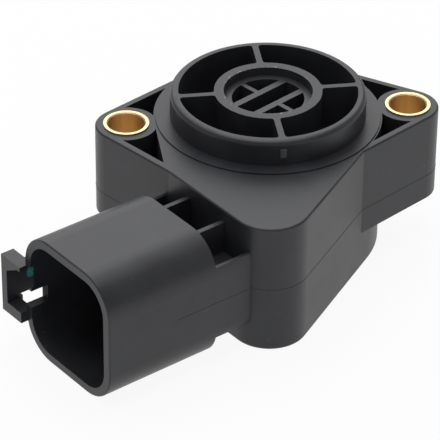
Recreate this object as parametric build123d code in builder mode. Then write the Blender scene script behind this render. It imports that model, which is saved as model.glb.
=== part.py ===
from build123d import *
import os
from math import asin, cos, degrees, radians, sin, sqrt

# Accelerator pedal sensor: a rotary position sensor that bolts to a pedal box by two bushed ears.
# Origin on the rotor axis in the mounting face, +Z out of the pilot ring, +X along the ears.
# Millimetres. Depths are counted down from the mounting face, heights up from it.

# Mounting ears
hole_spacing = 50.8
bush_bore = 6.6
bush_wall = 0.78
bush_chamfer = 0.2
bush_fit = 0.02
boss_wall = 1.45
ear_depth = 17.5
ear_web = 1.3
ear_floor = 2.0

# Body: a round drive end, a rounded nose and a flat wall that carries the connector
body_radius = 20.4
body_depth = 25.2
disc_radius = 20.1
face_step = 0.25
connector_angle = 30.0
flat_distance = 25.5
nose_radius = 6.93
nose_offset = 24.0
top_round = 0.4

# Walls and cavity
wall = 2.2
rim_wall = 1.3
deck_thickness = 2.2
cover_thickness = 1.4
cover_round = 0.6
spigot_height = 1.2
spigot_width = 1.5
spigot_gap = 0.1
gasket_thickness = 0.6

# Pilot ring, bearing ring and their ribs
ring_radius = 17.5
ring_height = 4.75
ring_wall = 1.5
ring_round = 0.9
ring_pocket_depth = 3.5
bearing_radius = 7.93
bearing_wall = 1.7
bearing_depth = 11.0
rib_width = 1.1
rib_root = 0.6
nub_width = 1.1
nub_height = 1.65
nub_level = 2.5
nub_reach = 0.4

# Connector shroud, measured along the connector axis from the rotor axis
shroud_rear = 32.4
shroud_length = 22.5
shroud_offset = 14.8
shroud_width = 24.2
shroud_height = 24.4
shroud_depth = 0.75
shroud_corner = 6.8
shroud_wall = 1.65
shroud_lip = 0.3
bulkhead = 4.0

# Neck between the body and the shroud
neck_depth = 8.6
neck_height = 11.3
neck_side_rise = 3.0
neck_side_wall = 0.9
neck_rib_depth = 2.65
neck_rib_width = 0.9
neck_rib_spacing = 9.5

# Latch strap on the far side of the shroud's mouth
latch_level = 13.85
strap_height = 11.45
strap_reach = 4.7
strap_leg = 1.5
strap_roof = 0.85
strap_floor = 2.1
strap_gusset = 1.85
strap_length = 2.6
strap_overhang = 1.7
strap_foot = 0.85
keeper_wall = 1.15
keeper_length = 8.0
keeper_drop = 2.65
keeper_height = 6.2
window_length = 1.9
window_drop = 1.5
window_height = 4.2
window_forward = 0.79
window_rise = 0.84
slot_length = 3.45
slot_height = 3.3
slot_drop = 5.1

# Rotor with its drive slot
running_fit = 0.05
rotor_recess = 1.6
rotor_rim = 1.4
drive_angle = 36.0
drive_slot = 3.3
drive_bar = 1.3
drive_rib = 0.9
drive_depth = 8.0
flange_thickness = 2.0
hub_radius = 6.5
magnet_radius = 4.5
magnet_thickness = 3.0
magnet_fit = 0.02
magnet_chamfer = 0.2
seal_section = 1.5
seal_level = 8.4
seal_side_gap = 0.2
seal_floor_gap = 0.02
washer_thickness = 0.5
rotor_travel = 80.0
stop_reach = 2.2
stop_gap = 0.35

# Rotor retainer on three staked posts, which are also the travel stops
post_radius = 1.2
post_gap = 0.7
post_first_angle = 30.0
retainer_thickness = 1.2
retainer_gap = 0.15
retainer_hole_gap = 0.05
retainer_lug = 1.9
stake_radius = 2.0
stake_height = 0.7

# Return spring: a flat spiral round the bearing ring, from a slot there to a peg on the rotor's flange.
# Its shares are of the room between the bearing ring and the flange's edge.
strip_share = 0.12
gap_share = 0.105
pitch_share = 0.225
tail_share = 0.3
peg_share = 0.18
peg_gap_share = 0.03
spring_height = 3.2
spring_half_turns = 4
spring_slot_gap = 0.05
spring_drop = 1.5

# Circuit board and what stands on it
air_gap = 0.7
board_thickness = 1.6
board_gap = 0.4
board_corner = 0.4
board_edge = 2.4
board_post_radius = 1.7
board_post_angles = (90.0, 330.0)
screw_radius = 0.95
screw_fit = 0.05
screw_grip = 4.0
screw_head_radius = 1.9
screw_head_height = 1.2
chip_length = 5.0
chip_width = 3.9
chip_height = 1.2
chip_spacing = 6.0
lead_width = 0.42
lead_pitch = 1.27
lead_reach = 0.9
capacitor_length = 2.0
capacitor_width = 1.25
capacitor_height = 1.0
capacitor_spacing = 3.4
capacitor_place = 11.5

# Terminal pins, two rows of three
pin_radius = 0.785
pin_pitch = 5.84
pin_tip_setback = 10.5
pin_tip_round = 0.3
pin_fit = 0.02
pin_bend_radius = 1.4
pin_inner_row = 14.6
pin_row_step = 4.6
pin_stub = 1.2

# Values worked out from the sizes above
ear_x = hole_spacing / 2
bush_radius = bush_bore / 2 + bush_wall
boss_radius = bush_radius + bush_fit + boss_wall
corner_radius = wall + board_gap + board_corner
ring_inner_radius = ring_radius - ring_wall
bearing_outer_radius = bearing_radius + bearing_wall
deck_depth = ring_pocket_depth + deck_thickness
housing_depth = body_depth - cover_thickness
shroud_mouth = shroud_rear + shroud_length
shroud_level = -shroud_depth - shroud_height / 2
shroud_inner = shroud_rear + bulkhead
shroud_far_side = shroud_offset - shroud_width / 2
shroud_near_side = shroud_offset + shroud_width / 2
strap_rear = shroud_mouth + strap_overhang - strap_length
board_inset = wall + board_gap
board_circle = body_radius - board_inset - board_edge
flange_radius = board_circle - board_post_radius - post_gap
journal_radius = bearing_radius - running_fit
rotor_top = ring_height - rotor_recess
rim_inner_radius = journal_radius - rotor_rim
flange_depth = bearing_depth + washer_thickness
hub_depth = flange_depth + flange_thickness + magnet_thickness
retainer_depth = flange_depth + flange_thickness + retainer_gap
stake_depth = retainer_depth + retainer_thickness
post_circle = flange_radius + post_gap + post_radius
post_angles = [post_first_angle + 120 * step for step in range(3)]
post_half_angle = degrees(asin(post_radius / post_circle))
stop_gap_angle = degrees(stop_gap / post_circle)
lug_half_angle = (120 - rotor_travel) / 2 - post_half_angle - stop_gap_angle
lug_rest_angle = post_angles[1] + post_half_angle + stop_gap_angle + lug_half_angle
board_depth = hub_depth + air_gap + chip_height
spring_room = flange_radius - bearing_outer_radius
spring_strip = strip_share * spring_room
spring_gap = gap_share * spring_room
spring_pitch = pitch_share * spring_room
spring_tail = tail_share * spring_room
peg_radius = peg_share * spring_room
peg_gap = peg_gap_share * spring_room
spring_radius = bearing_outer_radius + spring_gap + spring_strip / 2
spring_top = deck_depth + spring_drop
peg = (spring_radius + spring_half_turns * spring_pitch / 2, peg_radius + peg_gap + spring_strip / 2)
pin_columns = [shroud_offset + pin_pitch * step for step in (-1, 0, 1)]
pin_rows = [shroud_level + pin_pitch / 2, shroud_level - pin_pitch / 2]

# Local x of this plane runs across the connector, local y runs up, and its normal points out of the mouth
axis_x = -cos(radians(connector_angle))
axis_y = -sin(radians(connector_angle))
connector = Plane(origin=(0, 0, 0), x_dir=(-axis_y, axis_x, 0), z_dir=(axis_x, axis_y, 0))


def plan(along, across):
    """Plan position of a point given along and across the connector axis."""
    return (axis_x * along - axis_y * across, axis_y * along + axis_x * across)


def around(radius, angle):
    """Plan position at a radius and an angle about the rotor axis."""
    return (radius * cos(radians(angle)), radius * sin(radians(angle)))


drive_end = (0, 0, body_radius)
nose = (*plan(flat_distance - nose_radius, nose_offset), nose_radius)
corner_x = corner_radius - body_radius
corner = (corner_x, (flat_distance - corner_radius - axis_x * corner_x) / axis_y, corner_radius)
body_circles = (drive_end, nose, corner)
board_posts = [*(around(board_circle, angle) for angle in board_post_angles), nose[:2]]
retainer_posts = [around(post_circle, angle) for angle in post_angles]


def ear_circles(side):
    """Circles that an ear's outline wraps: its boss, the drive end and, on one side, the corner."""
    boss = (side * ear_x, 0, boss_radius)
    return (drive_end, boss, corner) if side < 0 else (drive_end, boss)


def wrap(circles, inset=0.0, mode=Mode.ADD):
    """Draw the outline stretched round some circles, moved in by an inset, in the open sketch."""
    rounds = [Edge.make_circle(radius - inset, Plane((x, y, 0))) for x, y, radius in circles]
    make_hull(rounds, mode=mode)


# Return spring: half turns of growing radius, a tail bent in at one end and an eye at the other
with BuildPart() as return_spring:
    with BuildSketch(Plane.XY.offset(-spring_top)):
        with BuildLine():
            Line((bearing_outer_radius - spring_tail, 0), (spring_radius, 0))
            for step in range(spring_half_turns):
                centre = spring_pitch / 2 * (step % 2)
                CenterArc((centre, 0), spring_radius + step * spring_pitch / 2, 180 * step, 180)
        trace(line_width=spring_strip)
        with Locations(peg):
            Circle(peg_radius + peg_gap + spring_strip)
            Circle(peg_radius + peg_gap, mode=Mode.SUBTRACT)
    extrude(amount=-spring_height)

# Housing: one dark moulding with the pilot ring, the ears, the pear-shaped body, the neck and the shroud
with BuildPart() as housing:
    with BuildSketch(Plane.XY.offset(-face_step)):
        wrap(body_circles)
    extrude(amount=-(housing_depth - face_step))
    for side in (-1, 1):
        with BuildSketch(Plane.XY.offset(-face_step)):
            wrap(ear_circles(side))
        extrude(amount=-(ear_depth - face_step))
    fillet(housing.faces().sort_by(Axis.Z)[-1].outer_wire().edges(), radius=top_round)
    with BuildSketch(Plane.XY.offset(-face_step)):
        Circle(disc_radius)
    extrude(amount=face_step)

    # Two open pockets in each ear leave the boss joined to the body by thin webs
    for side in (-1, 1):
        with BuildSketch(Plane.XY.offset(-face_step)):
            wrap(ear_circles(side), inset=ear_web)
            with Locations((side * ear_x, 0)):
                Circle(boss_radius, mode=Mode.SUBTRACT)
            wrap(body_circles, mode=Mode.SUBTRACT)
        extrude(amount=-(ear_depth - ear_floor - face_step), mode=Mode.SUBTRACT)
    with Locations((-ear_x, 0, 0), (ear_x, 0, 0)):
        Hole(radius=bush_radius + bush_fit)

    # Pilot ring, cored out round the bearing ring between four ribs
    with BuildSketch():
        Circle(ring_radius)
    extrude(amount=ring_height)
    fillet(housing.faces().sort_by(Axis.Z)[-1].edges(), radius=ring_round)
    with BuildSketch(Plane.XY.offset(ring_height)) as core:
        Circle(ring_inner_radius)
        Circle(bearing_outer_radius, mode=Mode.SUBTRACT)
        Rectangle(2 * ring_radius, rib_width, mode=Mode.SUBTRACT)
        Rectangle(rib_width, 2 * ring_radius, mode=Mode.SUBTRACT)
        fillet(core.vertices(), radius=rib_root)
    extrude(amount=-(ring_height + ring_pocket_depth), mode=Mode.SUBTRACT)
    with BuildSketch(Plane.XZ.offset(ring_inner_radius)):
        with Locations((0, nub_level)):
            Rectangle(nub_width, nub_height)
    extrude(amount=ring_wall + nub_reach)

    # Cavity from the rear, with a wider mouth for the cover's spigot and its gasket
    with BuildSketch(Plane.XY.offset(-housing_depth)):
        wrap(body_circles, inset=wall)
    extrude(amount=housing_depth - deck_depth, mode=Mode.SUBTRACT)
    with BuildSketch(Plane.XY.offset(-housing_depth)):
        wrap(body_circles, inset=rim_wall)
    extrude(amount=spigot_height + gasket_thickness, mode=Mode.SUBTRACT)

    # Inside the cavity: the bearing ring's long end, the staked posts and the board's posts
    with BuildSketch(Plane.XY.offset(-deck_depth)):
        Circle(bearing_outer_radius)
    extrude(amount=-(bearing_depth - deck_depth))
    with BuildSketch(Plane.XY.offset(-deck_depth)):
        with Locations(*retainer_posts):
            Circle(post_radius)
    extrude(amount=-(stake_depth - deck_depth))
    with BuildSketch(Plane.XY.offset(-stake_depth)):
        with Locations(*retainer_posts):
            Circle(stake_radius)
    extrude(amount=-stake_height)
    with BuildSketch(Plane.XY.offset(-deck_depth)):
        with Locations(*board_posts):
            Circle(board_post_radius)
    extrude(amount=-(board_depth - deck_depth))
    with BuildSketch(Plane.XY.offset(-board_depth)):
        with Locations(*board_posts):
            Circle(screw_radius + screw_fit)
    extrude(amount=screw_grip, mode=Mode.SUBTRACT)
    with BuildSketch(Plane.XY.offset(ring_height)):
        Circle(bearing_radius)
    extrude(amount=-(ring_height + bearing_depth), mode=Mode.SUBTRACT)
    with BuildSketch(Plane.XY.offset(-bearing_depth)):
        with Locations((bearing_outer_radius - spring_tail - spring_slot_gap, 0)):
            slot_width = spring_strip + 2 * spring_slot_gap
            Rectangle(spring_tail + spring_gap, slot_width, align=(Align.MIN, Align.CENTER))
    extrude(amount=bearing_depth - spring_top + spring_slot_gap, mode=Mode.SUBTRACT)

    # Neck: a low core round the pins, raised sides flush with the shroud and two thin ribs
    neck_root = flat_distance - wall / 2
    with BuildSketch(connector.offset(neck_root)):
        with Locations((shroud_offset, -neck_depth - neck_height / 2)):
            Rectangle(shroud_width, neck_height)
        for edge in (shroud_far_side + neck_side_wall / 2, shroud_near_side - neck_side_wall / 2):
            with Locations((edge, -neck_depth + neck_side_rise / 2)):
                Rectangle(neck_side_wall, neck_side_rise)
        with Locations((shroud_offset, -(neck_depth + neck_rib_depth) / 2)):
            with GridLocations(neck_rib_spacing, 0, 2, 1):
                Rectangle(neck_rib_width, neck_depth - neck_rib_depth)
        with Locations((shroud_offset, shroud_level)):
            RectangleRounded(shroud_width, shroud_height, shroud_corner, mode=Mode.INTERSECT)
    extrude(amount=shroud_rear - neck_root)

    # Connector shroud, open at the mouth
    with BuildSketch(connector.offset(shroud_rear)):
        with Locations((shroud_offset, shroud_level)):
            RectangleRounded(shroud_width, shroud_height, shroud_corner)
    extrude(amount=shroud_length)
    with BuildSketch(connector.offset(shroud_inner)):
        with Locations((shroud_offset, shroud_level)):
            inner_width = shroud_width - 2 * shroud_wall
            inner_height = shroud_height - 2 * shroud_wall
            RectangleRounded(inner_width, inner_height, shroud_corner - shroud_wall)
    extrude(amount=shroud_length - bulkhead, mode=Mode.SUBTRACT)
    mouth_face = housing.faces().sort_by(Axis((0, 0, 0), connector.z_dir))[-1]
    fillet(mouth_face.outer_wire().edges(), radius=shroud_lip)
    with BuildSketch(connector.offset(flat_distance - wall - nose_radius)):
        for level in pin_rows:
            with Locations(*[(column, level) for column in pin_columns]):
                Circle(pin_radius + pin_fit)
    extrude(amount=shroud_inner - flat_distance + wall + nose_radius, mode=Mode.SUBTRACT)

    # Latch strap ahead of the mouth, with a gusset in its upper outer corner
    strap_outer = shroud_far_side - strap_reach
    strap_top = strap_height / 2 - latch_level
    strap_bottom = strap_top - strap_height
    strap_root = shroud_far_side + shroud_wall / 2
    with BuildSketch(connector.offset(strap_rear)):
        with Locations((strap_outer, strap_bottom)):
            Rectangle(strap_root - strap_outer, strap_height, align=Align.MIN)
        with BuildLine():
            Polyline(
                (strap_outer + strap_leg, strap_bottom + strap_floor),
                (strap_root, strap_bottom + strap_floor),
                (strap_root, strap_top - strap_roof),
                (shroud_far_side, strap_top - strap_roof),
                (strap_outer + strap_leg, strap_top - strap_roof - strap_gusset),
                close=True,
            )
        make_face(mode=Mode.SUBTRACT)
    extrude(amount=strap_length)
    with BuildSketch(connector.offset(strap_rear)):
        with Locations((strap_outer, strap_bottom)):
            Rectangle(keeper_wall, strap_floor, align=Align.MIN)
    extrude(amount=-strap_foot)

    # Keeper behind the strap: a plate that stands off the wall on a block at its rear end
    keeper_top = strap_top - keeper_drop
    keeper_rear = strap_rear - keeper_length
    with BuildSketch(connector.offset(keeper_rear)):
        with Locations((strap_outer, keeper_top)):
            Rectangle(strap_root - strap_outer, keeper_height, align=(Align.MIN, Align.MAX))
    extrude(amount=keeper_length)
    with BuildSketch(connector.offset(keeper_rear + keeper_wall)):
        with Locations((strap_outer + keeper_wall, keeper_top)):
            Rectangle(strap_reach - keeper_wall, keeper_height, align=(Align.MIN, Align.MAX))
    extrude(amount=keeper_length - keeper_wall, mode=Mode.SUBTRACT)

    # Window in the wall beside the keeper, flared towards the mouth, and the straight slot below it
    flare = connector.x_dir + connector.z_dir * window_forward + Vector(0, 0, window_rise)
    window_corner = (*plan(shroud_mouth - window_length, shroud_far_side), strap_top - window_drop)
    with BuildSketch(Plane(origin=window_corner, x_dir=connector.z_dir, z_dir=connector.x_dir)):
        Rectangle(window_length + strap_overhang, window_height, align=Align.MIN)
    extrude(amount=2 * shroud_wall * flare.length, dir=flare.normalized(), mode=Mode.SUBTRACT)
    with BuildSketch(connector.offset(shroud_mouth - slot_length)):
        with Locations((shroud_far_side, strap_top - slot_drop)):
            Rectangle(2 * shroud_wall, slot_height, align=(Align.MIN, Align.MAX))
    extrude(amount=slot_length + strap_overhang, mode=Mode.SUBTRACT)

# Brass bushes that carry the clamping load through the ears
bushes = {}
for name, side in (("left_bush", -1), ("right_bush", 1)):
    with BuildPart(Plane.XY) as bush:
        with BuildSketch():
            with Locations((side * ear_x, 0)):
                Circle(bush_radius)
                Circle(bush_bore / 2, mode=Mode.SUBTRACT)
        extrude(amount=-ear_depth)
        circles = bush.edges().filter_by(GeomType.CIRCLE)
        chamfer(circles.filter_by(lambda edge: edge.radius < bush_radius), length=bush_chamfer)
    bushes[name] = bush

# Rotor: journal with the drive slot on top, a stop lug on its flange and the magnet pocket below
with BuildPart() as rotor:
    with BuildSketch(Plane.XY.offset(rotor_top)):
        Circle(journal_radius)
    extrude(amount=-(rotor_top + flange_depth))
    with BuildSketch(Plane.XY.offset(-flange_depth)):
        Circle(flange_radius)
        with BuildLine():
            lug_radius = flange_radius + stop_reach
            first = lug_rest_angle - lug_half_angle
            Line((0, 0), around(lug_radius, first))
            CenterArc((0, 0), lug_radius, first, 2 * lug_half_angle)
            Line(around(lug_radius, first + 2 * lug_half_angle), (0, 0))
        make_face()
    extrude(amount=-flange_thickness)
    with BuildSketch(Plane.XY.offset(-flange_depth - flange_thickness)):
        Circle(hub_radius)
    extrude(amount=-magnet_thickness)
    with BuildSketch(Plane.XY.offset(rotor_top).rotated((0, 0, drive_angle))):
        Circle(rim_inner_radius)
        Rectangle(drive_rib, 2 * rim_inner_radius, mode=Mode.SUBTRACT)
        Rectangle(2 * sqrt(rim_inner_radius**2 - drive_slot**2 / 4), drive_slot)
        with GridLocations(0, drive_slot + drive_bar, 1, 2):
            Rectangle(2 * rim_inner_radius, drive_bar, mode=Mode.SUBTRACT)
    extrude(amount=-drive_depth, mode=Mode.SUBTRACT)
    with BuildSketch(Plane.XY.offset(-seal_level + seal_section / 2 + seal_side_gap)):
        Circle(journal_radius)
        Circle(journal_radius - seal_section - seal_floor_gap, mode=Mode.SUBTRACT)
    extrude(amount=-(seal_section + 2 * seal_side_gap), mode=Mode.SUBTRACT)
    with BuildSketch(Plane.XY.offset(-hub_depth)):
        Circle(magnet_radius + magnet_fit)
    extrude(amount=magnet_thickness, mode=Mode.SUBTRACT)
    with BuildSketch(Plane.XY.offset(-flange_depth)):
        with Locations(peg):
            Circle(peg_radius)
    extrude(amount=flange_depth - spring_top)

# O-ring between the rotor and the bearing ring
with BuildPart() as rotor_seal:
    with BuildSketch(Plane.XZ):
        with Locations((journal_radius - seal_section / 2, -seal_level)):
            Circle(seal_section / 2)
    revolve(axis=Axis.Z)

# Washer that takes the rotor's thrust on the end of the bearing ring
with BuildPart() as thrust_washer:
    with BuildSketch(Plane.XY.offset(-bearing_depth)):
        Circle(bearing_outer_radius)
        Circle(bearing_radius, mode=Mode.SUBTRACT)
    extrude(amount=-washer_thickness)

# Disc magnet pressed into the rotor's hub
with BuildPart() as rotor_magnet:
    with BuildSketch(Plane.XY.offset(-hub_depth)):
        Circle(magnet_radius)
    extrude(amount=magnet_thickness)
    chamfer(rotor_magnet.faces().sort_by(Axis.Z)[0].edges(), length=magnet_chamfer)

# Plate that keeps the rotor in, held on the posts by their staked heads
with BuildPart() as rotor_retainer:
    with BuildSketch(Plane.XY.offset(-retainer_depth)):
        wrap([(0, 0, flange_radius), *((x, y, retainer_lug) for x, y in retainer_posts)])
        Circle(hub_radius + retainer_gap + running_fit, mode=Mode.SUBTRACT)
        with Locations(*retainer_posts):
            Circle(post_radius + retainer_hole_gap, mode=Mode.SUBTRACT)
    extrude(amount=-retainer_thickness)

# Circuit board on its three posts
with BuildPart() as circuit_board:
    with BuildSketch(Plane.XY.offset(-board_depth)):
        wrap(body_circles, inset=board_inset)
        with Locations(*board_posts):
            Circle(screw_radius + screw_fit, mode=Mode.SUBTRACT)
        for step in range(len(pin_rows)):
            for column in pin_columns:
                with Locations(plan(pin_inner_row + step * pin_row_step, column)):
                    Circle(pin_radius + pin_fit, mode=Mode.SUBTRACT)
    extrude(amount=-board_thickness)

# Screws that hold the board
board_screws = []
for x, y in board_posts:
    with BuildPart() as screw:
        with BuildSketch(Plane.XY.offset(-board_depth - board_thickness)):
            with Locations((x, y)):
                Circle(screw_head_radius)
        extrude(amount=-screw_head_height)
        fillet(screw.faces().sort_by(Axis.Z)[0].edges(), radius=screw_head_height / 3)
        with BuildSketch(Plane.XY.offset(-board_depth - board_thickness)):
            with Locations((x, y)):
                Circle(screw_radius)
        extrude(amount=board_thickness + screw_grip - screw_radius)
    board_screws.append(screw)

# Two sensor chips under the magnet, one for each output
chips = {}
for name, side in (("hall_chip_main", 1), ("hall_chip_second", -1)):
    with BuildPart() as chip:
        chip_y = side * chip_spacing / 2
        with Locations((0, chip_y, -board_depth)):
            Box(chip_length, chip_width, chip_height, align=(Align.CENTER, Align.CENTER, Align.MIN))
        chamfer(chip.faces().sort_by(Axis.Z)[-1].edges(), length=chip_height / 5)
        for lead_side in (-1, 1):
            with Locations((0, chip_y + lead_side * chip_width / 2, -board_depth)):
                with GridLocations(lead_pitch, 0, 4, 1):
                    lead_align = Align.MIN if lead_side > 0 else Align.MAX
                    lead_place = (Align.CENTER, lead_align, Align.MIN)
                    Box(lead_width, lead_reach, chip_height / 3, align=lead_place)
    chips[name] = chip

# Filter capacitors beside the pins
capacitors = []
for step in (-1, 0, 1):
    with BuildPart() as capacitor:
        x, y = plan(capacitor_place, shroud_offset + step * capacitor_spacing)
        with Locations(Location((x, y, -board_depth), (0, 0, connector_angle))):
            place = (Align.CENTER, Align.CENTER, Align.MIN)
            Box(capacitor_length, capacitor_width, capacitor_height, align=place)
        chamfer(capacitor.edges().filter_by(Axis.Z), length=capacitor_width / 8)
    capacitors.append(capacitor)

# Terminal pins: straight through the neck, then down through the board
terminal_pins = []
for row, level in enumerate(pin_rows):
    for column in pin_columns:
        inner = pin_inner_row + row * pin_row_step
        with BuildPart() as pin:
            with BuildLine() as route:
                FilletPolyline(
                    (*plan(shroud_mouth - pin_tip_setback, column), level),
                    (*plan(inner, column), level),
                    (*plan(inner, column), -board_depth - board_thickness - pin_stub),
                    radius=pin_bend_radius,
                )
            with BuildSketch(Plane(origin=route.line @ 0, z_dir=route.line % 0)):
                Circle(pin_radius)
            sweep()
            fillet(pin.faces().sort_by(Axis((0, 0, 0), connector.z_dir))[-1].edges(), radius=pin_tip_round)
        terminal_pins.append(pin)

# Rear cover with the spigot that presses the gasket against the housing's ledge
with BuildPart() as rear_cover:
    with BuildSketch(Plane.XY.offset(-body_depth)):
        wrap(body_circles)
    extrude(amount=cover_thickness)
    fillet(rear_cover.faces().sort_by(Axis.Z)[0].edges(), radius=cover_round)
    with BuildSketch(Plane.XY.offset(-housing_depth)):
        wrap(body_circles, inset=rim_wall + spigot_gap)
        wrap(body_circles, inset=rim_wall + spigot_gap + spigot_width, mode=Mode.SUBTRACT)
    extrude(amount=spigot_height)

# Flat gasket between the spigot and the ledge
with BuildPart() as cover_gasket:
    with BuildSketch(Plane.XY.offset(-housing_depth + spigot_height)):
        wrap(body_circles, inset=rim_wall + spigot_gap)
        wrap(body_circles, inset=wall, mode=Mode.SUBTRACT)
    extrude(amount=gasket_thickness)

pieces = {
    "housing": housing,
    **bushes,
    "rotor": rotor,
    "rotor_seal": rotor_seal,
    "thrust_washer": thrust_washer,
    "rotor_magnet": rotor_magnet,
    "rotor_retainer": rotor_retainer,
    "return_spring": return_spring,
    "circuit_board": circuit_board,
    **{f"board_screw_{number}": screw for number, screw in enumerate(board_screws, 1)},
    **chips,
    **{f"filter_capacitor_{number}": capacitor for number, capacitor in enumerate(capacitors, 1)},
    **{f"terminal_pin_{number}": pin for number, pin in enumerate(terminal_pins, 1)},
    "rear_cover": rear_cover,
    "cover_gasket": cover_gasket,
}

os.makedirs("parts", exist_ok=True)
for name, piece in pieces.items():
    piece.part.label = name
    export_step(piece.part, f"parts/{name}.step")
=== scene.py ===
"""Accelerator pedal sensor: finishes, small moulded details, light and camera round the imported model.

Sizes are in millimetres in the sensor's own frame unless a field says otherwise.
"""

import logging
import math
from dataclasses import dataclass
from enum import Enum
from typing import Any, Optional, Union

import bpy
from mathutils import Matrix, Vector

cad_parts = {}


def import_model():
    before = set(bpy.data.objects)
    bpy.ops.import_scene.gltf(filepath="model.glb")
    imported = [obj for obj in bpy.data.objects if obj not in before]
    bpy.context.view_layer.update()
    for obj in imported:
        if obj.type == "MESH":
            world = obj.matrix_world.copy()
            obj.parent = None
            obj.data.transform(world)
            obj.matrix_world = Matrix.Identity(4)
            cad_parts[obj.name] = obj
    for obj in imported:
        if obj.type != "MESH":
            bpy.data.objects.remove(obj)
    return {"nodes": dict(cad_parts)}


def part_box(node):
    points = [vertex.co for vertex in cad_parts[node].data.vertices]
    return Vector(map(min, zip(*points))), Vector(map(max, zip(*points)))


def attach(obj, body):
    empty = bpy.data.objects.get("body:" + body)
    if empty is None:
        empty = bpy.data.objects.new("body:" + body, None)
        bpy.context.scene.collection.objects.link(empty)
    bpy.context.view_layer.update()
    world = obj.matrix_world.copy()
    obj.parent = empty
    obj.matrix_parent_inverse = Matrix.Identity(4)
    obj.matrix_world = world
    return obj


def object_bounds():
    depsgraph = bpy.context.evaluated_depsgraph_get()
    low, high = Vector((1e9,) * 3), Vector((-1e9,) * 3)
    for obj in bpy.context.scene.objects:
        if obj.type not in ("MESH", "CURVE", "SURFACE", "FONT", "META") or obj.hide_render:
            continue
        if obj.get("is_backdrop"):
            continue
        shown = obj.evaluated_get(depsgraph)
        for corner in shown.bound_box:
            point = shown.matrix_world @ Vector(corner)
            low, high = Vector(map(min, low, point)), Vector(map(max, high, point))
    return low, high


LOG = logging.getLogger("pedal_sensor")
MM = 0.001
NOISE_MEAN = 0.5
WHITE = (1.0, 1.0, 1.0)
HOUSING_BODY = "housing"

Colour = tuple[float, float, float]
Point = tuple[float, float, float]
Span = tuple[float, float]
Value = Union["Signal", float, int]


class Side(Enum):
    """The two mounting ears, as the names of their bushes begin."""

    LEFT = "left"
    RIGHT = "right"


class Signal:
    """A shader socket that takes part in Python expressions; each operator adds one Math node."""

    def __init__(self, graph: "Graph", socket: bpy.types.NodeSocket) -> None:
        """Keep the output socket and the graph that new nodes go into."""
        self.graph = graph
        self.socket = socket

    def _math(self, operation: str, first: Value, second: Value = 0.0) -> "Signal":
        """Add a Math node on two values."""
        return self.graph.node("ShaderNodeMath", {"operation": operation}, {0: first, 1: second})

    def __add__(self, other: Value) -> "Signal":
        """Sum with a value."""
        return self._math("ADD", self, other)

    __radd__ = __add__

    def __sub__(self, other: Value) -> "Signal":
        """Difference from a value."""
        return self._math("SUBTRACT", self, other)

    def __rsub__(self, other: Value) -> "Signal":
        """A value less this signal."""
        return self._math("SUBTRACT", other, self)

    def __mul__(self, other: Value) -> "Signal":
        """Product with a value."""
        return self._math("MULTIPLY", self, other)

    __rmul__ = __mul__

    def __pow__(self, other: Value) -> "Signal":
        """Power of a value."""
        return self._math("POWER", self, other)

    def __abs__(self) -> "Signal":
        """Magnitude of the signal."""
        return self._math("ABSOLUTE", self)

    def clamp(self) -> "Signal":
        """Limit the signal to the range from 0 to 1."""
        return self._math("MINIMUM", self._math("MAXIMUM", self, 0.0), 1.0)

    def over(self, low: float, high: float) -> "Signal":
        """Smooth step from 0 at one level to 1 at another.

        Args:
            low: level at which the step starts.
            high: level at which the step ends.

        Returns:
            The stepped signal.
        """
        return self.graph.node(
            "ShaderNodeMapRange",
            {"interpolation_type": "SMOOTHSTEP"},
            {"Value": self, "From Min": low, "From Max": high},
        )

    def within(self, core: float, edge: float) -> "Signal":
        """Mask that is 1 up to the core's magnitude and fades to 0 at the edge's."""
        return 1.0 - abs(self).over(core, edge)


class Graph:
    """A node tree that nodes are added to through one method."""

    def __init__(self, tree: bpy.types.NodeTree) -> None:
        """Keep the tree of a material or a world, emptied."""
        self.tree = tree
        self.tree.nodes.clear()

    def connect(self, socket: bpy.types.NodeSocket, value: Any) -> None:
        """Link a signal to an input, or write a plain value on it.

        Args:
            socket: the input to feed.
            value: a signal, a number, a colour or a vector.
        """
        if isinstance(value, Signal):
            self.tree.links.new(value.socket, socket)
        elif socket.type == "RGBA":
            socket.default_value = (*value, 1.0)
        else:
            socket.default_value = value

    def node(
        self,
        kind: str,
        settings: Optional[dict[str, Any]] = None,
        inputs: Optional[dict[Any, Any]] = None,
        output: Union[int, str] = 0,
    ) -> Signal:
        """Add any node.

        Args:
            kind: the node's type.
            settings: properties set before the sockets.
            inputs: values or signals for the sockets, by name or number.
            output: the output that the result stands for.

        Returns:
            The chosen output as a signal.
        """
        made = self.tree.nodes.new(kind)
        for key, value in (settings or {}).items():
            setattr(made, key, value)
        for key, value in (inputs or {}).items():
            self.connect(made.inputs[key], value)
        return Signal(self, made.outputs[output])

    def seen(self, *rays: str) -> Signal:
        """Tell some kinds of ray from all others.

        Args:
            rays: names of outputs of the Light Path node.

        Returns:
            A mask that is 1 for those rays.
        """
        outputs = self.node("ShaderNodeLightPath").socket.node.outputs
        first, *others = (Signal(self, outputs[ray]) for ray in rays)
        return sum(others, first).clamp()

    def mix(self, share: Value, first: Signal, second: Signal) -> Signal:
        """Mix two shaders, with the share as the second one's weight."""
        return self.node("ShaderNodeMixShader", inputs={0: share, 1: first, 2: second})


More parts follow.
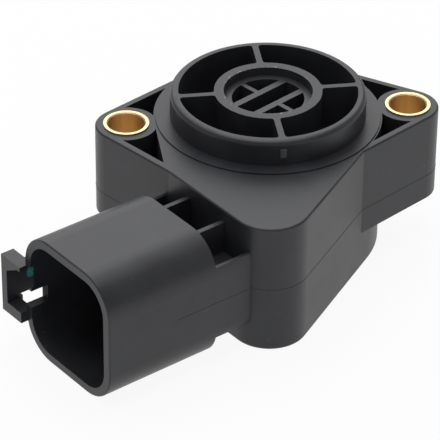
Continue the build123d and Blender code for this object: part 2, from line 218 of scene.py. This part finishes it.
class Finish(Graph):
    """The node tree of one material, with a principled shader at its end."""

    def __init__(self, name: str) -> None:
        """Make a material with a plain shader.

        Args:
            name: the material's name.
        """
        self.material = bpy.data.materials.new(name)
        self.material.use_nodes = True
        super().__init__(self.material.node_tree)
        self.shader = self.node("ShaderNodeBsdfPrincipled")
        self.out = self.tree.nodes.new("ShaderNodeOutputMaterial")
        self.connect(self.out.inputs["Surface"], self.shader)

    def coordinates(self) -> Signal:
        """Object coordinates, in metres in the sensor's own frame."""
        return self.node("ShaderNodeTexCoord", output="Object")

    def axes(self) -> tuple[Signal, Signal, Signal]:
        """The three object coordinates as separate signals."""
        outputs = self.node("ShaderNodeSeparateXYZ", inputs={0: self.coordinates()}).socket.node.outputs
        return Signal(self, outputs[0]), Signal(self, outputs[1]), Signal(self, outputs[2])

    def noise(
        self, grain: float, detail: float = 2.0, rough: float = 0.5, at: Optional[Signal] = None
    ) -> Signal:
        """Noise whose grain has a given size.

        Args:
            grain: size of one grain in millimetres.
            detail: number of finer layers.
            rough: weight of the finer layers.
            at: where the noise is read, or None for the object coordinates.

        Returns:
            The noise level, near NOISE_MEAN on average.
        """
        inputs = {
            "Vector": at or self.coordinates(),
            "Scale": 1.0 / (grain * MM),
            "Detail": detail,
            "Roughness": rough,
        }
        return self.node("ShaderNodeTexNoise", inputs=inputs)

    def blend(self, share: Value, first: Any, second: Any) -> Signal:
        """Mix two colours or signals, with the share as the second one's weight."""
        inputs = {0: share, 6: first, 7: second}
        return self.node("ShaderNodeMix", {"data_type": "RGBA"}, inputs, output=2)

    def bump(self, height: Signal, depth: float) -> Signal:
        """Turn a height into a normal, with the depth of a full step in millimetres."""
        inputs = {"Strength": 1.0, "Distance": depth * MM, "Height": height}
        return self.node("ShaderNodeBump", inputs=inputs)

    def surface(self, **inputs: Any) -> bpy.types.Material:
        """Feed the principled shader and return the material.

        Args:
            inputs: values or signals by socket name, with underscores for spaces.

        Returns:
            The finished material.
        """
        sockets = self.shader.socket.node.inputs
        for key, value in inputs.items():
            self.connect(sockets[key.replace("_", " ")], value)
        return self.material


def shaded(colour: Colour, share: float) -> Colour:
    """A colour times a share."""
    return tuple(share * part for part in colour)


@dataclass(frozen=True)
class MouldedPlastic:
    """Dark glass-filled nylon with a fine eroded grain, faint flow marks and a few pale specks."""

    name: str
    colour: Colour
    roughness: float = 0.4
    specular: float = 0.45
    grain: float = 0.3
    grain_depth: float = 0.01
    grain_gloss: float = 0.12
    flow: float = 9.0
    flow_span: Span = (0.3, 0.7)
    flow_gloss: float = 0.16
    flow_shades: Span = (0.82, 1.2)
    speck: float = 0.6
    speck_span: Span = (0.85, 0.88)
    speck_share: float = 0.4
    speck_colour: Colour = (0.12, 0.12, 0.12)

    def marks(self, graph: Finish, tone: Signal) -> Signal:
        """Add the painted highlights that only some mouldings get; a plain one adds nothing."""
        return tone

    def make(self) -> bpy.types.Material:
        """Build the plastic's material.

        Returns:
            The finished material.
        """
        graph = Finish(self.name)
        flow = graph.noise(self.flow, detail=3.0, rough=0.6)
        grain = graph.noise(self.grain, detail=2.0, rough=0.55)
        speck = graph.noise(self.speck, detail=0.0).over(*self.speck_span)
        dark, light = (shaded(self.colour, share) for share in self.flow_shades)
        tone = graph.blend(flow.over(*self.flow_span), dark, light)
        tone = graph.blend(speck * self.speck_share, tone, self.speck_colour)
        flow_gloss = (flow - NOISE_MEAN) * self.flow_gloss
        grain_gloss = (grain - NOISE_MEAN) * self.grain_gloss
        return graph.surface(
            Base_Color=self.marks(graph, tone),
            Roughness=self.roughness + flow_gloss + grain_gloss,
            Normal=graph.bump(grain, self.grain_depth),
            Specular_IOR_Level=self.specular,
        )


@dataclass(frozen=True)
class HousingPlastic(MouldedPlastic):
    """The housing's plastic: a painted highlight on the front face of the pilot ring's nub, and painted
    glints on the bearing ring's edge.
    """

    # these fields place a painted highlight on the nub's front face, paler as if lit
    gate_half: float = 0.6
    gate_rise: float = 0.88
    gate_level: float = 2.5
    gate_face: float = -17.6
    gate_fade: float = 0.1
    gate_core: float = 0.9
    nub_highlight_colour: Colour = (0.1, 0.1, 0.104)
    # these fields place painted glints in a band round the bearing ring's top edge
    glint_radius: float = 8.1
    glint_band: float = 0.35
    glint_core: float = 0.5
    glint_level: float = 4.3
    glint_fade: float = 0.2
    glint_grain: float = 0.45
    glint_span: Span = (0.66, 0.72)
    glint_colour: Colour = (0.3, 0.27, 0.2)

    def marks(self, graph: Finish, tone: Signal) -> Signal:
        """Paint a highlight on the nub's front face and glints on the bearing ring's edge.

        Args:
            graph: the material's graph.
            tone: the colour so far.

        Returns:
            The colour with the painted highlight and the painted glints.
        """
        x, y, z = graph.axes()
        # painted highlight: the nub's front face is paled as if light falls on it
        half, rise = self.gate_half * MM, self.gate_rise * MM
        nub_highlight = x.within(self.gate_core * half, half)
        nub_highlight = nub_highlight * (z - self.gate_level * MM).within(self.gate_core * rise, rise)
        nub_highlight = nub_highlight * (1.0 - y.over((self.gate_face - self.gate_fade) * MM, self.gate_face * MM))
        tone = graph.blend(nub_highlight, tone, self.nub_highlight_colour)
        # painted glints: pale specks in a band round the bearing ring's top edge
        band = self.glint_band * MM
        edge = ((x * x + y * y) ** 0.5 - self.glint_radius * MM).within(self.glint_core * band, band)
        edge = edge * z.over((self.glint_level - self.glint_fade) * MM, self.glint_level * MM)
        glint = graph.noise(self.glint_grain, detail=1.0).over(*self.glint_span)
        return graph.blend(glint * edge, tone, self.glint_colour)


@dataclass(frozen=True)
class DrawnBrass:
    """Pale drawn brass: fine rings on the ends, slight tarnish, and a warmer bore with streaks."""

    name: str
    centre: float
    colour: Colour = (0.9, 0.77, 0.49)
    tarnish: Colour = (0.76, 0.55, 0.27)
    tarnish_span: Span = (0.35, 0.75)
    bore_span: Span = (3.32, 3.38)
    bore_colour: Colour = (0.98, 0.8, 0.53)
    bore_tarnish: Colour = (0.93, 0.68, 0.38)
    roughness: float = 0.24
    ring: float = 0.12
    ring_gloss: float = 0.1
    ring_height: float = 0.4
    streak: float = 0.5
    streak_length: float = 25.0
    streak_gloss: float = 0.14
    streak_height: float = 0.6
    depth: float = 0.008

    def make(self) -> bpy.types.Material:
        """Build the brass material.

        Returns:
            The finished material.
        """
        graph = Finish(self.name)
        x, y, z = graph.axes()
        aside = x - self.centre * MM
        radius = (aside * aside + y * y) ** 0.5
        rings = graph.node(
            "ShaderNodeTexNoise",
            {"noise_dimensions": "2D"},
            {
                "Vector": graph.node("ShaderNodeCombineXYZ", inputs={0: radius, 1: z}),
                "Scale": 1.0 / (self.ring * MM),
                "Detail": 2.0,
            },
        )
        drawn = graph.node(
            "ShaderNodeVectorMath",
            {"operation": "MULTIPLY"},
            {0: graph.coordinates(), 1: (1.0, 1.0, 1.0 / self.streak_length)},
        )
        streak = graph.noise(self.streak, at=drawn)
        tarnished = streak.over(*self.tarnish_span)
        outer = graph.blend(tarnished, self.colour, self.tarnish)
        bore = graph.blend(tarnished, self.bore_colour, self.bore_tarnish)
        outside = radius.over(*(MM * edge for edge in self.bore_span))
        return graph.surface(
            Base_Color=graph.blend(outside, bore, outer),
            Metallic=1.0,
            Roughness=self.roughness + rings * self.ring_gloss + streak * self.streak_gloss,
            Normal=graph.bump(rings * self.ring_height + streak * self.streak_height, self.depth),
        )


@dataclass(frozen=True)
class PlainMetal:
    """Drawn or rolled metal with fine scratches and a soft cloud of dulling."""

    name: str
    colour: Colour
    roughness: float = 0.3
    grain: float = 0.2
    grain_gloss: float = 0.15
    grain_depth: float = 0.004
    cloud: float = 3.0
    cloud_span: Span = (0.4, 0.75)
    cloud_shade: float = 0.8

    def make(self) -> bpy.types.Material:
        """Build the metal's material.

        Returns:
            The finished material.
        """
        graph = Finish(self.name)
        grain = graph.noise(self.grain, detail=3.0)
        cloud = graph.noise(self.cloud).over(*self.cloud_span)
        return graph.surface(
            Base_Color=graph.blend(cloud, self.colour, shaded(self.colour, self.cloud_shade)),
            Metallic=1.0,
            Roughness=self.roughness + (grain - NOISE_MEAN) * self.grain_gloss,
            Normal=graph.bump(grain, self.grain_depth),
        )


@dataclass(frozen=True)
class FineSolid:
    """Any other small solid: rubber, ceramic, magnet, washer or chip, with its own grain."""

    name: str
    colour: Colour
    roughness: float = 0.6
    grain: float = 0.2
    grain_gloss: float = 0.2
    grain_depth: float = 0.01
    cloud: float = 1.6
    cloud_shade: float = 0.75
    metallic: float = 0.0

    def make(self) -> bpy.types.Material:
        """Build the solid's material.

        Returns:
            The finished material.
        """
        graph = Finish(self.name)
        grain = graph.noise(self.grain, detail=3.0)
        cloud = graph.noise(self.cloud)
        return graph.surface(
            Base_Color=graph.blend(cloud, shaded(self.colour, self.cloud_shade), self.colour),
            Metallic=self.metallic,
            Roughness=self.roughness + (grain - NOISE_MEAN) * self.grain_gloss,
            Normal=graph.bump(grain, self.grain_depth),
        )


@dataclass(frozen=True)
class LacqueredBoard:
    """Green lacquered board with paler lands where copper runs under the lacquer."""

    name: str
    lacquer: Colour = (0.012, 0.11, 0.05)
    copper: Colour = (0.03, 0.2, 0.09)
    roughness: float = 0.28
    pitch: float = 1.9
    stagger: float = 0.35
    land_gap: float = 0.16
    land_height: float = 0.7
    weave: float = 0.4
    weave_gloss: float = 0.1
    weave_height: float = 0.3
    depth: float = 0.02

    def make(self) -> bpy.types.Material:
        """Build the board's material.

        Returns:
            The finished material.
        """
        graph = Finish(self.name)
        gaps = graph.node(
            "ShaderNodeTexBrick",
            {"offset": self.stagger},
            {
                "Vector": graph.coordinates(),
                "Scale": 1.0 / (self.pitch * MM),
                "Mortar Size": self.land_gap,
            },
            output="Fac",
        )
        weave = graph.noise(self.weave)
        return graph.surface(
            Base_Color=graph.blend(gaps, self.copper, self.lacquer),
            Roughness=self.roughness + (weave - NOISE_MEAN) * self.weave_gloss,
            Normal=graph.bump(gaps * self.land_height + weave * self.weave_height, self.depth),
        )


@dataclass(frozen=True)
class MarkerPaint:
    """A dab of teal inspection paint, paler where it lies thin."""

    name: str
    colour: Colour = (0.0, 0.22, 0.2)
    pale: Colour = (0.02, 0.35, 0.32)
    cloud: float = 0.5
    cloud_span: Span = (0.35, 0.7)
    cloud_gloss: float = 0.2
    roughness: float = 0.35
    depth: float = 0.03

    def make(self) -> bpy.types.Material:
        """Build the paint's material.

        Returns:
            The finished material.
        """
        graph = Finish(self.name)
        cloud = graph.noise(self.cloud)
        return graph.surface(
            Base_Color=graph.blend(cloud.over(*self.cloud_span), self.colour, self.pale),
            Roughness=self.roughness + cloud * self.cloud_gloss,
            Normal=graph.bump(cloud, self.depth),
        )


def deselect() -> None:
    """Leave edit mode and clear the selection."""
    if bpy.context.object and bpy.context.object.mode != "OBJECT":
        bpy.ops.object.mode_set(mode="OBJECT")
    bpy.ops.object.select_all(action="DESELECT")


def take(piece: bpy.types.Object) -> None:
    """Make a piece the only selected and active one.

    Args:
        piece: the object to work on.
    """
    deselect()
    piece.select_set(True)
    bpy.context.view_layer.objects.active = piece


def dress(piece: bpy.types.Object, material: bpy.types.Material) -> None:
    """Put one material on every slot of a piece.

    Args:
        piece: the object to dress.
        material: its finish.
    """
    if not piece.data.materials:
        piece.data.materials.append(material)
    for number in range(len(piece.data.materials)):
        piece.data.materials[number] = material
    LOG.info("piece %s wears %s", piece.name, material.name)


def place(piece: bpy.types.Object) -> None:
    """Fix a finished piece to the housing.

    Args:
        piece: the finished piece.
    """
    take(piece)
    bpy.ops.object.transform_apply(location=True, rotation=True, scale=True)
    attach(piece, HOUSING_BODY)
    LOG.info("piece %s rides on %s", piece.name, HOUSING_BODY)


@dataclass(frozen=True)
class ConnectorAxes:
    """The connector's own axes, from the rotor axis: along it, and across it to the camera's side."""

    turn: float = math.radians(30.0)

    def point(self, along: float, across: float, level: float) -> Vector:
        """Place a point by the connector's axes.

        Args:
            along: distance along the connector, in millimetres.
            across: distance across it, in millimetres.
            level: height in millimetres.

        Returns:
            The point in metres.
        """
        x = -math.cos(self.turn) * along + math.sin(self.turn) * across
        y = -math.sin(self.turn) * along - math.cos(self.turn) * across
        return Vector((x, y, level)) * MM

    def measure(self, point: Vector) -> tuple[float, float]:
        """Measure a point by the connector's axes.

        Args:
            point: a point in metres.

        Returns:
            Its distances along and across the connector, in millimetres.
        """
        x, y = point.x / MM, point.y / MM
        along = -math.cos(self.turn) * x - math.sin(self.turn) * y
        across = math.sin(self.turn) * x - math.cos(self.turn) * y
        return along, across


@dataclass
class LatchKeeper:
    """The paint dab on the inner face of the connector's latch keeper."""

    axes: ConnectorAxes = ConnectorAxes()
    face: float = -0.85
    dab_along: float = 51.44
    dab_level: float = -13.45
    dab_radius: float = 0.85
    dab_height: float = 0.06
    dab_stretch: float = 1.2
    dab_sides: int = 32
    rim_share: float = 0.6
    rim_steps: int = 3
    wobble: float = 0.05
    wobble_seed: int = 4
    smooth_angle: float = math.radians(50.0)
    paint: MarkerPaint = MarkerPaint("inspection_paint")

    def build(self) -> None:
        """Add the dab as a low stretched disc with a rounded, uneven rim."""
        deselect()
        bpy.ops.mesh.primitive_cylinder_add(
            vertices=self.dab_sides,
            radius=self.dab_radius * MM,
            depth=2 * self.dab_height * MM,
            location=self.axes.point(self.dab_along, self.face, self.dab_level),
            rotation=(math.radians(90.0), 0.0, self.axes.turn),
        )
        dab = bpy.context.object
        dab.name = "inspection_dot"
        dab.scale = (1.0, self.dab_stretch, 1.0)
        bpy.ops.object.mode_set(mode="EDIT")
        bpy.ops.mesh.select_all(action="SELECT")
        rim = self.rim_share * self.dab_height * MM
        bpy.ops.mesh.bevel(offset=rim, segments=self.rim_steps, affect="EDGES")
        bpy.ops.transform.vertex_random(offset=self.wobble * MM, seed=self.wobble_seed)
        bpy.ops.object.mode_set(mode="OBJECT")
        bpy.ops.object.shade_smooth_by_angle(angle=self.smooth_angle)
        dress(dab, self.paint.make())
        place(dab)


@dataclass
class Moulding:
    """The dark mouldings' finishes and the fine bead left where the mould halves meet."""

    axes: ConnectorAxes = ConnectorAxes()
    parting_level: float = -12.65
    bead_radius: float = 0.055
    bead_steps: int = 1
    weld: float = 0.001
    shroud_walls: Span = (2.7, 26.9)
    wall_margin: float = 0.3
    neck_end: float = 33.0
    latch_start: float = 45.0
    mouth: float = 54.3
    smooth_angle: float = math.radians(60.0)
    plastic: HousingPlastic = HousingPlastic("housing_plastic", (0.026, 0.0268, 0.0315))
    rotor_plastic: MouldedPlastic = MouldedPlastic(
        "rotor_plastic", (0.028, 0.0288, 0.034), roughness=0.36
    )

    def build(self, nodes: dict[str, bpy.types.Object]) -> None:
        """Dress the mouldings and run the bead round the housing.

        Args:
            nodes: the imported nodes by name.
        """
        plastic = self.plastic.make()
        dress(nodes["housing"], plastic)
        dress(nodes["rear_cover"], plastic)
        dress(nodes["rotor"], self.rotor_plastic.make())
        line = self.section(nodes["housing"])
        self.trim(line)
        self.thicken(line)
        dress(line, plastic)
        place(line)

    def section(self, housing: bpy.types.Object) -> bpy.types.Object:
        """Cut a copy of the housing at the parting level.

        Args:
            housing: the housing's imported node, which is only copied.

        Returns:
            The longest outline of the cut, as a mesh of edges.
        """
        cut = bpy.data.objects.new("parting_bead", housing.data.copy())
        bpy.context.scene.collection.objects.link(cut)
        take(cut)
        bpy.ops.object.mode_set(mode="EDIT")
        bpy.ops.mesh.select_all(action="SELECT")
        bpy.ops.mesh.remove_doubles(threshold=self.weld * MM)
        bpy.ops.mesh.select_all(action="SELECT")
        bpy.ops.mesh.bisect(
            plane_co=(0.0, 0.0, self.parting_level * MM),
            plane_no=(0.0, 0.0, 1.0),
            clear_inner=True,
            clear_outer=True,
        )
        bpy.ops.mesh.select_all(action="SELECT")
        bpy.ops.mesh.remove_doubles(threshold=self.weld * MM)
        bpy.ops.mesh.separate(type="LOOSE")
        bpy.ops.object.mode_set(mode="OBJECT")
        *spares, line = sorted(bpy.context.selected_objects, key=lambda loop: loop.dimensions.x)
        for spare in spares:
            bpy.data.objects.remove(spare)
        line.name = "parting_bead"
        return line

    def kept(self, point: Vector) -> bool:
        """Tell whether a point of the parting section lies on the outside of the moulding.

        Args:
            point: a point in metres.

        Returns:
            True where the two mould halves met on an outer wall.
        """
        along, across = self.axes.measure(point)
        near, far = self.shroud_walls
        inside = near + self.wall_margin < across < far - self.wall_margin
        latch = across < near - self.wall_margin and along > self.latch_start
        return along < self.neck_end or not (inside or latch or along > self.mouth)

    def trim(self, line: bpy.types.Object) -> None:
        """Delete an outline's stretches inside the shroud, over the latch and across the mouth.

        Args:
            line: the outline's mesh of edges.
        """
        take(line)
        bpy.ops.object.mode_set(mode="EDIT")
        bpy.ops.mesh.select_all(action="DESELECT")
        bpy.ops.object.mode_set(mode="OBJECT")
        for vertex in line.data.vertices:
            vertex.select = not self.kept(vertex.co)
        bpy.ops.object.mode_set(mode="EDIT")
        bpy.ops.mesh.delete(type="VERT")
        bpy.ops.object.mode_set(mode="OBJECT")

    def thicken(self, line: bpy.types.Object) -> None:
        """Turn an outline into a thin round bead.

        Args:
            line: the outline's mesh of edges.
        """
        take(line)
        bpy.ops.object.convert(target="CURVE")
        line.data.bevel_depth = self.bead_radius * MM
        line.data.bevel_resolution = self.bead_steps
        line.data.use_fill_caps = True
        bpy.ops.object.convert(target="MESH")
        bpy.ops.object.shade_smooth_by_angle(angle=self.smooth_angle)


@dataclass
class Hardware:
    """Bushes, pins and the sealed-in pieces with their finishes."""

    steel: PlainMetal = PlainMetal("bright_steel", (0.6, 0.6, 0.61))
    terminal: PlainMetal = PlainMetal("plated_terminal", (0.62, 0.58, 0.5), roughness=0.26)
    magnet: FineSolid = FineSolid(
        "magnet", (0.12, 0.12, 0.125), roughness=0.42, grain=0.35, grain_depth=0.015, metallic=0.8
    )
    seal: FineSolid = FineSolid("seal_rubber", (0.022, 0.022, 0.022), roughness=0.7)
    gasket: FineSolid = FineSolid("gasket_rubber", (0.024, 0.024, 0.024), roughness=0.75)
    washer: FineSolid = FineSolid("washer_plastic", (0.72, 0.71, 0.66), roughness=0.4)
    chip: FineSolid = FineSolid("chip_case", (0.028, 0.028, 0.03), roughness=0.5, grain=0.12)
    capacitor: FineSolid = FineSolid(
        "capacitor_glaze", (0.4, 0.27, 0.15), roughness=0.3, grain=0.3, grain_depth=0.004
    )
    board: LacqueredBoard = LacqueredBoard("board_lacquer")

    def dress(self, nodes: dict[str, bpy.types.Object]) -> None:
        """Dress every piece that isn't a dark moulding.

        Args:
            nodes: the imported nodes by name.
        """
        for side in Side:
            name = f"{side.value}_bush"
            low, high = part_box(name)
            centre = (low.x + high.x) / 2 / MM
            dress(nodes[name], DrawnBrass(f"{name}_brass", centre).make())
        steel = self.steel.make()
        finishes = {
            "terminal_pin": self.terminal.make(),
            "board_screw": steel,
            "return_spring": steel,
            "rotor_retainer": steel,
            "rotor_magnet": self.magnet.make(),
            "rotor_seal": self.seal.make(),
            "cover_gasket": self.gasket.make(),
            "thrust_washer": self.washer.make(),
            "hall_chip": self.chip.make(),
            "filter_capacitor": self.capacitor.make(),
            "circuit_board": self.board.make(),
        }
        for name, node in nodes.items():
            for prefix, material in finishes.items():
                if name.startswith(prefix):
                    dress(node, material)


@dataclass(frozen=True)
class SoftLamp:
    """One soft square lamp: its place, the point it faces, its side, and its power in watts."""

    name: str
    stand: Point
    aim: Point
    size: float
    watts: float

    def hang(self) -> None:
        """Add the lamp to the scene."""
        data = bpy.data.lights.new(self.name, "AREA")
        data.size = self.size * MM
        data.energy = self.watts
        lamp = bpy.data.objects.new(self.name, data)
        bpy.context.scene.collection.objects.link(lamp)
        lamp.location = Vector(self.stand) * MM
        lamp.rotation_mode = "QUATERNION"
        lamp.rotation_quaternion = (Vector(self.aim) - Vector(self.stand)).to_track_quat("-Z", "Y")


@dataclass
class Studio:
    """White floor, soft light and the camera, whose angles are in radians."""

    floor_level: float
    floor_size: float = 6000.0
    floor_colour: Colour = (0.9, 0.9, 0.9)
    floor_roughness: float = 0.9
    floor_white: float = 0.92
    world_strength: float = 0.35
    lamps: tuple[SoftLamp, ...] = (
        SoftLamp("top_sheet", (-50.0, 60.0, 650.0), (0.0, -10.0, 0.0), 600.0, 2.6),
        SoftLamp("back_sheet", (0.0, 700.0, 480.0), (0.0, 0.0, 0.0), 800.0, 3.0),
    )
    focal_px: float = 3000.0
    frame_px: float = 440.0
    pixel_offset: float = 0.5
    sensor: float = 36.0
    clip: Span = (10.0, 20000.0)
    azimuth: float = -0.145
    elevation: float = 0.584
    roll: float = math.radians(0.5456)
    eye: Point = (-74.186, -450.930, 278.900)

    def camera(self) -> None:
        """Set the camera where the photograph was taken from."""
        data = bpy.data.cameras.new("camera")
        data.sensor_width = self.sensor
        data.lens = self.sensor * self.focal_px / self.frame_px
        data.clip_start, data.clip_end = (MM * distance for distance in self.clip)
        data.shift_x = -self.pixel_offset / self.frame_px
        data.shift_y = self.pixel_offset / self.frame_px
        data.dof.use_dof = False
        camera = bpy.data.objects.new("camera", data)
        bpy.context.scene.collection.objects.link(camera)
        across, rise = self.azimuth, self.elevation
        reach = math.cos(rise)
        back = Vector((math.sin(across) * reach, -math.cos(across) * reach, math.sin(rise)))
        right = Vector((math.cos(across), math.sin(across), 0.0))
        up = back.cross(right)
        level = right * math.cos(self.roll) + up * math.sin(self.roll)
        upright = up * math.cos(self.roll) - right * math.sin(self.roll)
        matrix = Matrix((level, upright, back)).transposed().to_4x4()
        matrix.translation = Vector(self.eye) * MM
        camera.matrix_world = matrix
        bpy.context.scene.camera = camera

    def floor(self) -> None:
        """Lay the pale floor, which stays white to the camera but keeps a soft shadow."""
        deselect()
        middle = (0.0, 0.0, self.floor_level * MM)
        bpy.ops.mesh.primitive_plane_add(size=self.floor_size * MM, location=middle)
        floor = bpy.context.object
        floor.name = "floor"
        graph = Finish("floor_white")
        material = graph.surface(Base_Color=self.floor_colour, Roughness=self.floor_roughness)
        white = graph.seen("Is Camera Ray", "Is Glossy Ray", "Is Transmission Ray") * self.floor_white
        glow = graph.node("ShaderNodeEmission", inputs={"Color": WHITE, "Strength": 1.0})
        graph.connect(graph.out.inputs["Surface"], graph.mix(white, graph.shader, glow))
        dress(floor, material)
        floor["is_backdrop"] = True

    def world(self) -> None:
        """Light the room with an even dim white, which the camera sees as full white."""
        world = bpy.data.worlds.new("studio")
        bpy.context.scene.world = world
        world.use_nodes = True
        graph = Graph(world.node_tree)
        light, backdrop = (
            graph.node("ShaderNodeBackground", inputs={"Color": WHITE, "Strength": strength})
            for strength in (self.world_strength, 1.0)
        )
        out = graph.tree.nodes.new("ShaderNodeOutputWorld")
        graph.connect(out.inputs["Surface"], graph.mix(graph.seen("Is Camera Ray"), light, backdrop))

    def build(self) -> None:
        """Set up the floor, the world, the lamps and the camera."""
        bpy.context.scene.view_settings.view_transform = "Standard"
        self.floor()
        self.world()
        for lamp in self.lamps:
            lamp.hang()
        self.camera()


def main() -> None:
    """Build the sensor's finishes, details and studio in order."""
    logging.basicConfig(level=logging.INFO, format="%(name)s: %(message)s")
    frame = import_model()
    cad_box = [list(corner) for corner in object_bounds()]
    nodes = frame["nodes"]
    Moulding().build(nodes)
    Hardware().dress(nodes)
    LatchKeeper().build()
    Studio(floor_level=cad_box[0][2] / MM).build()
    LOG.info("cad box %s", cad_box)


if __name__ == "__main__":
    main()
